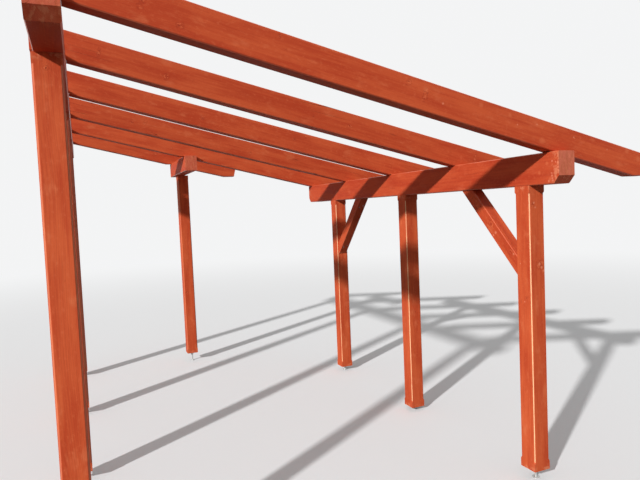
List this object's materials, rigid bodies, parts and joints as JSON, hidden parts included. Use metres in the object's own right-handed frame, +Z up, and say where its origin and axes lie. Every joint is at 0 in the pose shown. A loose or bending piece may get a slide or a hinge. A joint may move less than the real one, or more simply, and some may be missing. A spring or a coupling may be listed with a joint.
{
  "type": "lean-to pergola",
  "caption": "Open lean-to garden pergola of stained square timber: posts on pin feet, bevel-ended beams, braces and sloping notched rafters.",
  "frame": {"origin": "centre of the overall box, on the floor under the post feet", "axes": "+Z up, +X from the house side to the garden side, down the roof slope, +Y along the beams from the bevelled near end to the far end with the short rafter"},
  "size_m": [4.071, 5.6, 3.2687],
  "materials": {
    "stained_timber": "satin",
    "foot_steel": "satin"
  },
  "bodies": {
    "root": {"front_post_1": "stained_timber", "front_foot_1": "foot_steel", "front_post_2": "stained_timber", "front_foot_2": "foot_steel", "front_post_3": "stained_timber", "front_foot_3": "foot_steel", "side_post": "stained_timber", "side_foot": "foot_steel", "house_post_1": "stained_timber", "house_foot_1": "foot_steel", "house_post_2": "stained_timber", "house_foot_2": "foot_steel", "house_post_3": "stained_timber", "house_foot_3": "foot_steel", "house_post_4": "stained_timber", "house_foot_4": "foot_steel", "front_beam": "stained_timber", "house_beam": "stained_timber", "side_beam": "stained_timber", "front_brace_near": "stained_timber", "front_brace_far": "stained_timber", "rafter_1": "stained_timber", "rafter_2": "stained_timber", "rafter_3": "stained_timber", "rafter_4": "stained_timber", "rafter_5": "stained_timber", "rafter_6": "stained_timber"}
  },
  "joints": []
}
